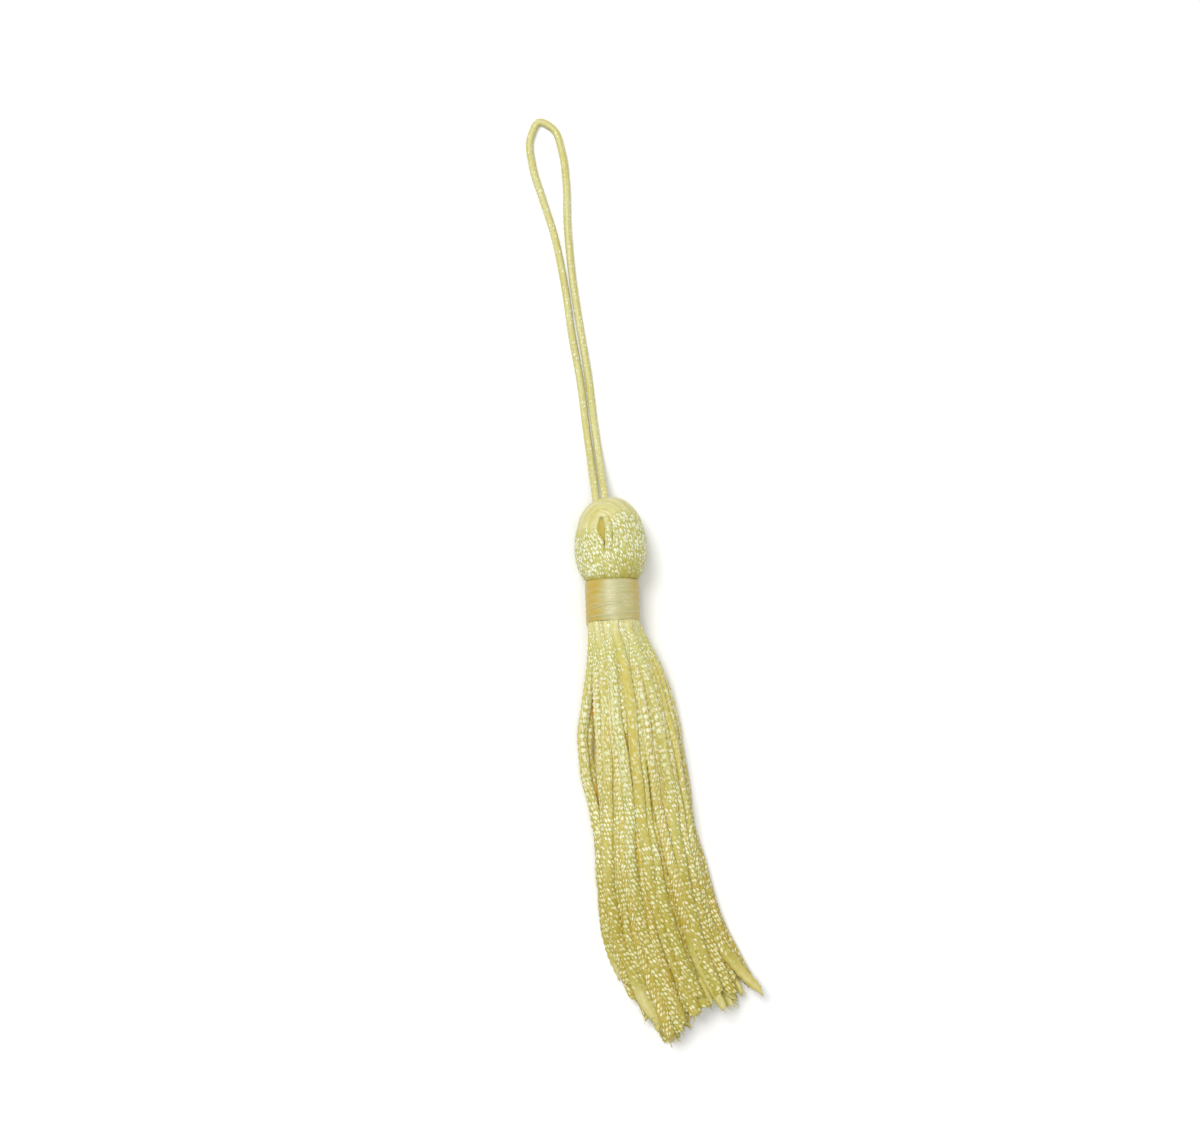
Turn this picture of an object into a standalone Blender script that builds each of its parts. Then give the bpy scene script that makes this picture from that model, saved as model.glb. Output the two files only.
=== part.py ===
"""A silk tassel lying on its back on a level surface, with its hanging loop laid out beyond the head.

Metres, +Z up. The tassel's axis runs along Y: the crown and the loop are towards +Y, the skirt towards -Y.
It is drawn with y = 0 at the lower edge of the neck binding, and an empty then carries it so that the origin
is at the middle of the underside of the tassel without its loop.
"""

import math

import bmesh
import bpy
import numpy as np
from mathutils import Matrix, Vector

MM = 0.001
GAP = 0.3 * MM  # between one piece and the next

# Skirt
STRANDS = 72
STRAND_START = 1.5 * MM  # below the binding, inside the fused root
LOOSE_FROM = 20 * MM  # below the binding, where the strands stray from their places as far as they do
LENGTH_SPREAD = 1.8 * MM  # how uneven the cut is
LAST_STEP = 2.0 * MM  # between a strand's end and the last cross-section before it, at the least
LANDING = 14 * MM  # below the binding, where the lowest strands have come down to the surface
WANDER = 0.09  # how far a strand strays from its place in the bundle, as a share of the bundle's radius
WANDER_WAVE = 95 * MM  # how far apart such strays are along a strand
SETTLING_STEP = 2.5 * MM  # how finely the bundle is followed from the neck to the tips
CROWDING_ROUNDS = 60
SEED = 7

# One row for each cross-section of the skirt, in mm: distance below the binding; how far the middle has swayed
# to the right; half width; heights of the top and of the underside above the surface; how far the underside has
# flattened, from 0 to 1; the space that one strand takes across and in height.
SKIRT_COLUMNS = ("below", "sway", "half_width", "top", "underside", "flatness", "across", "rise")
SKIRT_SECTIONS = (
    (1.5, 0.35, 4.90, 11.3, 1.7, 0.00, 1.04, 1.04),
    (5.0, 1.20, 5.65, 11.3, 1.1, 0.10, 1.16, 1.10),
    (9.0, 2.10, 6.50, 10.9, 0.5, 0.30, 1.28, 1.18),
    (14.0, 2.90, 7.30, 10.3, 0.0, 0.55, 1.38, 1.20),
    (21.0, 3.70, 8.20, 9.6, 0.0, 0.80, 1.44, 1.22),
    (30.0, 4.40, 9.00, 8.9, 0.0, 1.00, 1.50, 1.22),
    (40.0, 5.00, 9.80, 8.3, 0.0, 1.00, 1.56, 1.20),
    (50.0, 6.00, 10.80, 7.9, 0.0, 1.00, 1.64, 1.18),
    (60.0, 7.80, 11.30, 7.5, 0.0, 1.00, 1.70, 1.16),
    (70.0, 10.60, 11.40, 7.2, 0.0, 1.00, 1.74, 1.14),
    (84.0, 15.20, 11.20, 7.0, 0.0, 1.00, 1.76, 1.12),
)

# How far below the binding the strands end: place across the skirt, from -1 at its left edge to 1 at its right;
# distance in mm
TIP_COLUMNS = ("side", "length")
TIPS = (
    (-1.0, 70.0),
    (-0.8, 73.0),
    (-0.55, 81.0),
    (-0.3, 79.0),
    (0.1, 75.5),
    (0.6, 75.5),
    (1.0, 72.5),
)

# Strands that leave the bundle: the side they are on; how far out they bow, where that is widest and how far
# the bow reaches up and down from there, in mm.
STRAY_COLUMNS = ("side", "bow", "widest", "reach")
STRAYS = (
    (-1, 3.2, 25.0, 15.0),
    (-1, 2.0, 27.0, 17.0),
    (1, 1.6, 58.0, 22.0),
)

# Corners of a strand's cross-section, as shares of its width and height
RIDGED_RING = ((0.5, 0.0), (0.0, 0.5), (-0.5, 0.0), (0.0, -0.5))
FLAT_RING = ((0.38, -0.45), (0.25, 0.43), (-0.25, 0.43), (-0.38, -0.45))
FLAT_RING_DROP = 0.45

# Neck and root
BINDING_RADIUS = 5.3 * MM
BINDING_LENGTH = 8.0 * MM
BINDING_WALL = 0.65 * MM
BINDING_WRAPS = 9
BINDING_RELIEF = 0.14 * MM
BINDING_SLANT = 0.22 * MM  # each wrap climbs this much from one side of the neck to the other
BINDING_SIDES = 32
NECK_RADIUS = BINDING_RADIUS - BINDING_WALL - GAP
AXIS_HEIGHT = 6.5 * MM  # of the head and neck above the surface
# One row for each ring of the fused root, in mm: distance below the binding, radius
ROOT_COLUMNS = ("below", "radius")
ROOT_SECTIONS = (
    (0.30, 4.45),
    (0.45, 5.00),
    (0.80, 5.20),
    (2.00, 5.15),
    (3.60, 4.10),
    (4.60, 2.80),
)

# Head. The cords run up one side of the eye, over it and down the other, so each row of the table is a
# cross-section of the two legs, in mm: height above the binding; half width; half thickness; the eye's width and
# depth on the face.
CORDS_PER_SIDE = 13
RIB_RELIEF = 0.13 * MM
HEAD_COLUMNS = ("height", "half_width", "half_thickness", "eye_width", "eye_depth")
HEAD_SECTIONS = (
    (0.0, 4.35, 4.35, 0.24, 0.10),
    (0.3, 4.45, 4.45, 0.24, 0.10),
    (0.5, 5.30, 5.20, 0.24, 0.10),
    (1.5, 5.95, 5.75, 0.24, 0.10),
    (3.2, 6.60, 6.25, 0.24, 0.10),
    (5.2, 6.95, 6.58, 0.24, 0.10),
    (6.6, 6.97, 6.62, 0.44, 0.25),
    (8.2, 6.83, 6.57, 0.95, 0.80),
    (9.8, 6.52, 6.42, 1.45, 1.30),
    (11.0, 6.20, 6.22, 1.50, 1.60),
    (11.7, 5.98, 6.02, 1.25, 1.50),
)
HEAD_ROLL = math.radians(13)  # the eye is turned this far to the left
CROWN_RISE = 4.6 * MM  # from the last row to the crown
SHOULDER = 0.09  # how much narrower than an ellipse the crown is at its shoulders
FOLD_STEPS = 10  # around the eye, from one leg to the other

# Loop
CORD_DIAMETER = 1.3 * MM
CORD_STEP = 3.0 * MM
# The cord's way from the left of the crown out, around the bend and back, in mm: to the right of the axis;
# beyond the crown; above the surface.
LOOP_COLUMNS = ("x", "beyond_crown", "z")
LOOP_ROUTE = (
    (-2.55, 0.05, 5.9),
    (-2.92, 4.0, 4.5),
    (-3.39, 9.0, 1.7),
    (-3.99, 15.0, 0.68),
    (-4.80, 24.0, 0.68),
    (-6.20, 34.0, 0.68),
    (-7.33, 44.0, 0.68),
    (-9.03, 54.0, 0.68),
    (-11.22, 62.0, 0.68),
    (-12.94, 68.5, 0.68),
    (-13.15, 74.0, 0.68),
    (-11.20, 77.3, 0.68),
    (-8.50, 75.8, 0.68),
    (-6.90, 71.0, 0.68),
    (-6.27, 64.5, 0.68),
    (-6.30, 56.0, 0.68),
    (-5.74, 46.0, 0.68),
    (-4.61, 36.0, 0.68),
    (-3.30, 26.0, 0.68),
    (-2.39, 16.0, 0.68),
    (-1.74, 9.5, 1.7),
    (-1.22, 4.0, 4.5),
    (-0.85, 0.20, 5.9),
)

SILK = (0.73, 0.69, 0.35, 1.0)
FLOSS = (0.68, 0.62, 0.28, 1.0)
CORD = (0.74, 0.69, 0.37, 1.0)
SILK_ROUGHNESS = 0.42


def clear_scene():
    for thing in list(bpy.data.objects):
        bpy.data.objects.remove(thing, do_unlink=True)


def material(name, colour):
    """A Principled BSDF with the given colour and the soft shine of silk."""
    made = bpy.data.materials.new(name)
    made.use_nodes = True
    shader = made.node_tree.nodes["Principled BSDF"]
    shader.inputs["Base Color"].default_value = colour
    shader.inputs["Roughness"].default_value = SILK_ROUGHNESS
    shader.inputs["Metallic"].default_value = 0.0
    return made


def mesh_object(name, shape, look, parent):
    """A named object from a bmesh, facing out."""
    bmesh.ops.recalc_face_normals(shape, faces=shape.faces)
    mesh = bpy.data.meshes.new(name)
    shape.to_mesh(mesh)
    shape.free()
    made = bpy.data.objects.new(name, mesh)
    bpy.context.collection.objects.link(made)
    made.parent = parent
    if look:
        mesh.materials.append(look)
    return made


def columns(names, rows, plain=()):
    """A table's columns as arrays by name, turned from mm to metres apart from the plain ones."""
    values = np.array(rows, dtype=float).T
    return {name: column if name in plain else column * MM for name, column in zip(names, values)}


# ---------------------------------------------------------------- skirt


def bundle_places():
    """Each strand's place in the round bundle at the neck: a hexagonal packing in a unit disc."""
    reach = range(-8, 9)
    lattice = [(i + 0.5 * j + 0.31, j * math.sqrt(0.75) + 0.17) for i in reach for j in reach]
    lattice.sort(key=lambda place: math.hypot(*place))
    places = np.array(lattice[:STRANDS])
    return places / np.hypot(*places.T).max()


def keep_apart(places, pitch, lowest):
    """Moves crowded strands apart, none of them below lowest. pitch is the room that one strand takes."""
    for _ in range(CROWDING_ROUNDS):
        between = (places[:, None] - places[None]) / pitch
        distance = np.hypot(between[..., 0], between[..., 1])
        np.fill_diagonal(distance, 2.0)
        crowding = np.clip(1.0 - distance, 0.0, None) / distance
        places = places + 0.45 * pitch * (between * crowding[..., None]).sum(axis=1)
        places[:, 1] = np.maximum(places[:, 1], lowest)
    return places


def stray_bow(strays, side, below):
    """How far each stray strand bows out of the bundle at one cross-section."""
    bows = np.zeros(len(side))
    for row in range(len(strays["side"])):
        members = np.argsort(-side * strays["side"][row])
        share = (below - strays["widest"][row]) / strays["reach"][row]
        bows[members[row]] += strays["side"][row] * strays["bow"][row] * math.exp(-share * share)
    return bows


def planned_places(disc, drift, strays, section):
    """Where the strands would lie at one cross-section if they took no room from each other."""
    body_rise = section["rise"] - GAP
    loose = min(1.0, (section["below"] - STRAND_START) / LOOSE_FROM)
    spot = disc + loose * WANDER * np.sin(drift + 2 * math.pi * section["below"] / WANDER_WAVE)
    side, level = (spot / max(1.0, np.hypot(*spot.T).max())).T
    arch = np.sqrt(np.clip(1.0 - side * side, 0.0, None))
    base = 1.0 - section["flatness"] * (1.0 - arch)
    half_width = section["half_width"] - 0.5 * (section["across"] - GAP)
    half_rise = 0.5 * (section["top"] - section["underside"] - body_rise)
    x = section["sway"] + half_width * side + stray_bow(strays, disc[:, 0], section["below"])
    z = section["underside"] + 0.5 * body_rise + half_rise * (base + level)
    return np.column_stack([x, z])


def skirt_routes():
    """The centre of every strand at every cross-section of the table, and the table itself."""
    table = columns(SKIRT_COLUMNS, SKIRT_SECTIONS, plain=("flatness",))
    strays = columns(STRAY_COLUMNS, STRAYS, plain=("side",))
    disc = bundle_places()
    drift = np.random.default_rng(SEED).uniform(0.0, 2 * math.pi, (STRANDS, 2))
    between = np.arange(table["below"][0], table["below"][-1], SETTLING_STEP)
    routes = []
    moved = np.zeros((STRANDS, 2))
    for here in np.union1d(between, table["below"]):
        section = {name: np.interp(here, table["below"], table[name]) for name in SKIRT_COLUMNS}
        planned = planned_places(disc, drift, strays, section)
        room = np.array([section["across"], section["rise"]])
        lowest = section["underside"] + FLAT_RING_DROP * (section["rise"] - GAP)
        settled = keep_apart(planned + moved, room, lowest)
        moved = 0.9 * (settled - planned)
        if here in table["below"]:
            routes.append(settled)
    return np.array(routes), table


def strand_lengths(side):
    """How far below the binding each strand ends: the longest to the left of the middle, and unevenly cut."""
    table = columns(TIP_COLUMNS, TIPS, plain=("side",))
    dice = np.random.default_rng(SEED + 1)
    return np.interp(side, table["side"], table["length"]) + dice.uniform(-1.0, 1.0, STRANDS) * LENGTH_SPREAD


def tube(shape, rings):
    """Joins rings of points into one closed tube with flat ends."""
    rows = [[shape.verts.new(point) for point in ring] for ring in rings]
    for first, second in zip(rows, rows[1:]):
        for k in range(len(first)):
            after = (k + 1) % len(first)
            shape.faces.new((first[k], first[after], second[after], second[k]))
    shape.faces.new(rows[0][::-1])
    shape.faces.new(rows[-1])


def strand_rings(stops, sections, corners):
    """The corners of one strand at each of its cross-sections, which have x, z, width and height."""
    return [
        [(x + a * wide, -below, z + b * tall) for a, b in corners]
        for below, (x, z, wide, tall) in zip(stops, sections)
    ]


def skirt_strands(parent):
    """All strands as separate four-sided tubes, to be joined to the root."""
    routes, table = skirt_routes()
    below = table["below"]
    body_across = table["across"] - GAP
    body_rise = table["rise"] - GAP
    lengths = strand_lengths((routes[-1, :, 0] - table["sway"][-1]) / table["half_width"][-1])
    landed = below >= LANDING
    on_surface = (routes[landed, :, 1] < 0.62 * body_rise[landed, None]).mean(axis=0) > 0.5
    shape = bmesh.new()
    for k in range(STRANDS):
        x, z = routes[:, k].T
        if on_surface[k]:
            z = np.where(landed, FLAT_RING_DROP * body_rise, z)
        else:
            z = np.maximum(z, 0.5 * body_rise)
        stops = np.append(below[below < lengths[k] - LAST_STEP], lengths[k])
        sections = np.column_stack([np.interp(stops, below, values) for values in (x, z, body_across, body_rise)])
        tube(shape, strand_rings(stops, sections, FLAT_RING if on_surface[k] else RIDGED_RING))
    strands = mesh_object("strands", shape, None, parent)
    strands.hide_render = True
    strands.display_type = "WIRE"
    return strands


# ---------------------------------------------------------------- head, neck and root


def head_rows():
    """Cross-sections of the folded bundle, from the left of the neck over the eye to the right of the neck.

    Each is (point beside the eye, point on the outline, half thickness, eye's depth), the points in the plane of
    the face.
    """
    table = columns(HEAD_COLUMNS, HEAD_SECTIONS)
    legs = list(zip(BINDING_LENGTH + table["height"], *[table[name] for name in HEAD_COLUMNS[1:]]))
    rows = []
    for y, width, thickness, eye, depth in legs:
        rows.append((Vector((-eye / 2, y)), Vector((-width, y)), thickness, depth))
    top, width, thickness, eye, depth = legs[-1]
    for k in range(1, FOLD_STEPS):
        turn = math.pi * k / FOLD_STEPS
        away = Vector((-math.cos(turn), math.sin(turn)))
        edge = Vector((0, top)) + away * eye / 2
        narrower = 1 - SHOULDER * math.sin(2.5 * min(turn, math.pi - turn))
        outline = Vector((away.x * width * narrower, top + away.y * CROWN_RISE))
        rows.append((edge, outline, thickness, depth))
    for y, width, thickness, eye, depth in legs[::-1]:
        rows.append((Vector((eye / 2, y)), Vector((width, y)), thickness, depth))
    return rows


def smooth_underside(lift):
    """How much of the ribs shows, by the height of a point from -1 at the back to 1 at the face."""
    return min(1.0, max(0.0, 1.6 + 2.0 * lift))


def head_row_points(edge, outline, thickness, depth, ribs):
    """One cross-section, from the bottom of the eye on the face around the outline to the middle of the back."""
    points = [Vector((0, edge.y, thickness - depth))]
    steps = 2 * CORDS_PER_SIDE
    for j in range(steps + 1):
        angle = math.pi * j / steps
        away = math.sin(angle)
        lift = math.cos(angle)
        relief = RIB_RELIEF * ribs * smooth_underside(lift) * (1 if j % 2 else -1)
        start = edge if j < steps else Vector((0, edge.y))
        across = outline - start
        flat = start + across * away * (1 + relief / across.length)
        points.append(Vector((flat.x, flat.y, lift * (thickness + relief))))
    rolled = [Matrix.Rotation(-HEAD_ROLL, 4, "Y") @ point for point in points]
    return [Vector((p.x, p.y, max(0.0, AXIS_HEIGHT + p.z))) for p in rolled]


def head_and_neck(look, parent):
    """The folded head, the neck and the fused root as one closed mesh."""
    shape = bmesh.new()
    rows = []
    plan = head_rows()
    for i, (edge, outline, thickness, depth) in enumerate(plan):
        ribs = 0.0 if i in (0, len(plan) - 1) else 1.0
        rows.append([shape.verts.new(p) for p in head_row_points(edge, outline, thickness, depth, ribs)])
    for first, second in zip(rows, rows[1:]):
        for j in range(len(first) - 1):
            shape.faces.new((first[j], first[j + 1], second[j + 1], second[j]))
    neck = rows[0] + rows[-1][::-1]
    rings = [neck]
    table = columns(ROOT_COLUMNS, ROOT_SECTIONS)
    steps = [(0.0, NECK_RADIUS)] + list(zip(table["below"], table["radius"]))
    for below, radius in steps:
        ring = []
        for vertex in neck:
            out = Vector((vertex.co.x, 0, vertex.co.z - AXIS_HEIGHT))
            out = out.normalized() * radius
            ring.append(shape.verts.new((out.x, -below, AXIS_HEIGHT + out.z)))
        rings.append(ring)
    for first, second in zip(rings, rings[1:]):
        for k in range(len(first)):
            after = (k + 1) % len(first)
            shape.faces.new((first[k], first[after], second[after], second[k]))
    shape.faces.new(rings[-1])
    bmesh.ops.remove_doubles(shape, verts=shape.verts, dist=1e-6)
    bmesh.ops.dissolve_degenerate(shape, edges=shape.edges, dist=1e-6)
    return mesh_object("cords_and_head", shape, look, parent)


# ---------------------------------------------------------------- binding and loop


def neck_binding(look, parent):
    """Floss wound around the neck: a ring whose outer wall rises over each wrap."""
    shape = bmesh.new()
    profile = []
    for k in range(2 * BINDING_WRAPS + 1):
        relief = 0.0 if k % 2 else -BINDING_RELIEF
        profile.append((BINDING_LENGTH * k / (2 * BINDING_WRAPS), BINDING_RADIUS + relief))
    inner = BINDING_RADIUS - BINDING_WALL
    profile += [(BINDING_LENGTH, inner), (0.0, inner)]
    rings = []
    for s in range(BINDING_SIDES):
        angle = 2 * math.pi * s / BINDING_SIDES
        ring = []
        for y, radius in profile:
            inside = math.sin(math.pi * y / BINDING_LENGTH)
            slant = BINDING_SLANT * inside * math.sin(angle)
            place = Vector((radius * math.cos(angle), y + slant, AXIS_HEIGHT + radius * math.sin(angle)))
            ring.append(shape.verts.new(place))
        rings.append(ring)
    for s in range(BINDING_SIDES):
        first, second = rings[s], rings[(s + 1) % BINDING_SIDES]
        for k in range(len(profile)):
            after = (k + 1) % len(profile)
            shape.faces.new((first[k], first[after], second[after], second[k]))
    return mesh_object("neck_binding", shape, look, parent)


def smooth_route(points, step):
    """Points a step apart along a smooth curve through the given ones (a Catmull-Rom spline)."""
    ends = [2 * points[0] - points[1], *points, 2 * points[-1] - points[-2]]
    fine = []
    for a, b, c, d in zip(ends, ends[1:], ends[2:], ends[3:]):
        for t in np.arange(0.0, 1.0, 1 / 24):
            bend = (2 * a - 5 * b + 4 * c - d) * t**2
            turn = (3 * b - a - 3 * c + d) * t**3
            fine.append(0.5 * (2 * b + (c - a) * t + bend + turn))
    fine.append(points[-1])
    fine = np.array(fine)
    travelled = np.concatenate([[0.0], np.cumsum(np.linalg.norm(np.diff(fine, axis=0), axis=1))])
    count = round(travelled[-1] / step) + 1
    stops = np.linspace(0.0, travelled[-1], count)
    return np.column_stack([np.interp(stops, travelled, fine[:, axis]) for axis in range(3)])


def hanging_loop(look, parent):
    """One round cord, out from the crown and back to it."""
    crown = BINDING_LENGTH + HEAD_SECTIONS[-1][0] * MM + CROWN_RISE
    table = columns(LOOP_COLUMNS, LOOP_ROUTE)
    route = np.column_stack([table["x"], crown + table["beyond_crown"], table["z"]])
    points = smooth_route(route, CORD_STEP)
    points[:, 2] = np.maximum(points[:, 2], CORD_DIAMETER / 2)
    curve = bpy.data.curves.new("hanging_loop", "CURVE")
    curve.dimensions = "3D"
    curve.bevel_depth = CORD_DIAMETER / 2
    curve.bevel_resolution = 2
    curve.use_fill_caps = True
    spline = curve.splines.new("POLY")
    spline.points.add(len(points) - 1)
    for slot, place in zip(spline.points, points):
        slot.co = (*place, 1.0)
    made = bpy.data.objects.new("hanging_loop", curve)
    bpy.context.collection.objects.link(made)
    made.parent = parent
    curve.materials.append(look)
    return made


def middle_of(pieces):
    """The middle of the pieces' box, seen from above."""
    corners = np.array([v.co for piece in pieces for v in piece.data.vertices])
    return 0.5 * (corners.min(axis=0) + corners.max(axis=0))


def build():
    clear_scene()
    carrier = bpy.data.objects.new("tassel", None)
    bpy.context.collection.objects.link(carrier)
    yarn = head_and_neck(material("silk_cords", SILK), carrier)
    strands = skirt_strands(carrier)
    neck_binding(material("silk_floss", FLOSS), carrier)
    hanging_loop(material("silk_loop", CORD), carrier)
    join = yarn.modifiers.new("strands", "BOOLEAN")
    join.operation = "UNION"
    join.solver = "EXACT"
    join.object = strands
    middle = middle_of([yarn, strands])
    carrier.location = (-middle[0], -middle[1], 0.0)


build()
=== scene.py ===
"""A silk tassel lying on its back, dressed over its CAD frame.

Knitted silk cords are folded over a loop cord into a head with an eye, bound at the neck with floss, and hang
as the skirt. Metres, in the frame's own axes: +Y from the tips of the skirt to the crown and the loop, +Z up
from the surface. The rows of the tables are in the same axes with the origin on the tassel's axis at the lower
edge of the binding, as in the part's source.
"""

import math

import bpy
import numpy as np
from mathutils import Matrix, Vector


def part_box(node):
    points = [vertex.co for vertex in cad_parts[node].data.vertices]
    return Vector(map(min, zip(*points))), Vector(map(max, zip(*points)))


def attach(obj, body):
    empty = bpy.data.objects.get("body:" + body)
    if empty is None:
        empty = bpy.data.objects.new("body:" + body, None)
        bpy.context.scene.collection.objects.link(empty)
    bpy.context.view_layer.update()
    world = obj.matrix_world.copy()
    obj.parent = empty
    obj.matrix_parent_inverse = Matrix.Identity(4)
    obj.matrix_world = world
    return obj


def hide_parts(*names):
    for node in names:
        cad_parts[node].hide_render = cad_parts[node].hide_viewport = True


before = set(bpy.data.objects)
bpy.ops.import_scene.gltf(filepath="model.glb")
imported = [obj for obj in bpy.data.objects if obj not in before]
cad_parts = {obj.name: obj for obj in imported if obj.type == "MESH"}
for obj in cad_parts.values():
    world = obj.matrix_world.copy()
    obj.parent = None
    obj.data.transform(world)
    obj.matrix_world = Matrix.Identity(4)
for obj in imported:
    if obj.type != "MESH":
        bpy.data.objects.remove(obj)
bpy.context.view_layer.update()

MM = 0.001
PIXEL = 0.195 * MM  # a pixel of the photograph, at the tassel
FRAME_WIDTH = 1200 * PIXEL

NECK_LOW, NECK_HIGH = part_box("neck_binding")
AXIS_X = 0.5 * (NECK_LOW.x + NECK_HIGH.x)
AXIS_HEIGHT = 0.5 * (NECK_LOW.z + NECK_HIGH.z)
BINDING_LENGTH = NECK_HIGH.y - NECK_LOW.y
ORIGIN = np.array([AXIS_X, NECK_LOW.y, 0.0])  # of the tables

# Camera
LENS = 80.0
SENSOR = 36.0
CAMERA_AZIMUTH = math.radians(-2.0)
CAMERA_ELEVATION = math.radians(84.0)
AIM = Vector((AXIS_X - 2.2 * MM, NECK_LOW.y + 11.0 * MM, AXIS_HEIGHT))

# Knitted cord
STITCH = 1.35 * MM
TIGHT_STITCH = 1.0 * MM  # where the cords are drawn together at the neck
WALES = 4
SIDES_PER_WALE = 3
RINGS_PER_STITCH = 6
BEAD_RELIEF = 0.10 * MM
FLOOR_CLEARANCE = 0.02 * MM
# Per vertex: tone; shine, the painted glints; painted shade in the gaps, with the gold of bare strands; fine;
# painted shade towards the tips
VALUES = ("tone", "shine", "depth", "fine", "rich")
BAKE_MARGIN = 0.04  # on both sides of each cord in the baked picture, as a share of its strip
BAKE_CAP = 0.005  # the width of a cap there

# Skirt, with the rows and the rules of the part's source
STRANDS = 72
GAP = 0.3 * MM
STRAND_START = 1.5 * MM
LOOSE_FROM = 20 * MM
LENGTH_SPREAD = 1.8 * MM
TRIMMED = 3.6 * MM  # at most, off all but the longest strands on the left
WANDER = 0.09
WANDER_WAVE = 95 * MM
SETTLING_STEP = 2.5 * MM
SETTLING_KEPT = 0.9  # of how far the strands have moved, from one step to the next
CROWDING_ROUNDS = 60
CROWDING_PUSH = 0.45  # of their room, at most, between two strands in a round
FLAT_RING_DROP = 0.45
SEED = 7
PIECES = 4
SKIRT_COLUMNS = ("below", "sway", "half_width", "top", "underside", "flatness", "across", "rise")
SKIRT_SECTIONS = (
    (1.5, 0.35, 4.90, 11.3, 1.7, 0.00, 1.04, 1.04),
    (5.0, 1.20, 5.65, 11.3, 1.1, 0.10, 1.16, 1.10),
    (9.0, 2.10, 6.50, 10.9, 0.5, 0.30, 1.28, 1.18),
    (14.0, 2.90, 7.30, 10.3, 0.0, 0.55, 1.38, 1.20),
    (21.0, 3.70, 8.20, 9.6, 0.0, 0.80, 1.44, 1.22),
    (30.0, 4.40, 9.00, 8.9, 0.0, 1.00, 1.50, 1.22),
    (40.0, 5.00, 9.80, 8.3, 0.0, 1.00, 1.56, 1.20),
    (50.0, 6.00, 10.80, 7.9, 0.0, 1.00, 1.64, 1.18),
    (60.0, 7.80, 11.30, 7.5, 0.0, 1.00, 1.70, 1.16),
    (70.0, 10.60, 11.40, 7.2, 0.0, 1.00, 1.74, 1.14),
    (84.0, 15.20, 11.20, 7.0, 0.0, 1.00, 1.76, 1.12),
)
TIP_COLUMNS = ("side", "length")
TIPS = (
    (-1.0, 70.0),
    (-0.8, 73.0),
    (-0.55, 81.0),
    (-0.3, 79.0),
    (0.1, 75.5),
    (0.6, 75.5),
    (1.0, 72.5),
)
STRAY_COLUMNS = ("side", "bow", "widest", "reach")
STRAYS = (
    (-1, 3.2, 25.0, 15.0),
    (-1, 2.0, 27.0, 17.0),
    (1, 1.6, 58.0, 22.0),
)
# Where the upper strands part and the golden ones below show, in mm: right of the axis at the middle of the
# gap; how much further right it goes for each mm down; below the binding; half length; width
PARTING_COLUMNS = ("right", "lean", "below", "reach", "width")
PARTINGS = (
    (2.4, 0.10, 47.0, 11.0, 1.1),
    (8.8, 0.22, 48.0, 10.0, 1.1),
    (5.6, 0.12, 33.0, 8.0, 0.7),
    (0.4, 0.04, 17.0, 7.0, 0.6),
)
UPPER = (3.0, 5.0)  # mm above the surface: the strands from here up part
LOWER = (4.5, 3.5)  # and those down to here fill the gap behind the strays
STRAY_GAP = (26.0, 12.0)  # that gap's middle and reach, in mm below the binding
STRAY_FILL = -1.45 * MM

# How strands hide each other, in mm
ROOF_REACH = 1.6 * MM  # how far to each side a strand keeps the light off those below
ROOF_RISE = 0.55  # how far its top is above its middle, as a share of its height
IN_SHADE = (0.0, 1.0)  # how far under its neighbours a strand is in shade
IN_THE_OPEN = (2.5, 4.5)  # and where it is so far under that it shows from below
LIFTED = (1.5, 1.0)  # how far under them it may be to be lifted between them
LIFT = 0.6 * MM  # at most

# A strand's room, width and thickness
TUCK = np.array([-2.2, -0.7, 0.3]) * MM  # its first places, under the binding
TUCK_INWARD = np.array([0.84, 0.92, 1.01])
WIDER = (1.28, 1.50)
THICKER = (0.98, 1.10)
SQUARENESS = 3.1
GRID = 400

# Stretches of a strand, in mm below the binding: where each starts, and from where it is there in full
FUSED = (9.0, 0.0)  # pressed together at the neck
EASED = (0.0, 16.0)  # with stitches of full length
SMALL_ABOVE = (16.5, 5.5)  # with small stitches, near the neck
SMALL_BELOW = (24.0, 38.0)  # and again lower down
OPENED = (5.0, 19.0)  # apart from its neighbours
LOOSE = (6.0, 26.0)  # free to wave and to tilt
LIFTING = (4.0, 12.0)
PAIRED = (25.0, 50.0)  # with two wales side by side
PAINTED_SHADE_DOWN = (4.0, 49.0)  # with painted shade, which darkens the colour towards the tips
PAINTED_SHEEN_BAND = (42.0, 9.0)  # a middle and a reach, where the painted shade is weaker again, a painted satin highlight
BARE_FROM = (8.0, 18.0)  # smooth, in the few strands that are
BARE_TO = (50.0, 36.0)
SPLAYED = (58.0, 80.0)
CURLED = (57.0, 73.0)
# The same in mm from its end
CUT = (2.2, 0.0)
POINTED = (7.0, 0.0)
# with painted shade between the strands
COVERED = (0.0, 14.0)

# Head, with the rows of the part's source in mm: height above the binding; half width; half thickness; width
# of the eye
CORDS_PER_SIDE = 13
HEAD_COLUMNS = ("height", "half_width", "half_thickness", "eye_width")
HEAD_SECTIONS = (
    (-1.2, 4.05, 4.05, 0.24),
    (0.0, 4.70, 4.65, 0.24),
    (0.5, 5.30, 5.20, 0.24),
    (1.5, 5.95, 5.75, 0.24),
    (3.2, 6.60, 6.25, 0.24),
    (5.2, 6.95, 6.58, 0.24),
    (6.6, 6.97, 6.62, 0.44),
    (8.2, 6.83, 6.57, 0.95),
    (9.8, 6.52, 6.42, 1.45),
    (11.0, 6.20, 6.22, 1.50),
    (11.7, 5.98, 6.02, 1.25),
)
HEAD_ROLL = math.radians(16)
CROWN_RISE = 4.6 * MM
SHOULDER = 0.09
FOLD_STEPS = 10
HEAD_STEP = 0.20 * MM
HEAD_STITCH = 1.1 * MM
HEAD_WALES = 5
HEAD_MIDDLE = 7.5 * MM  # above the binding
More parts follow.
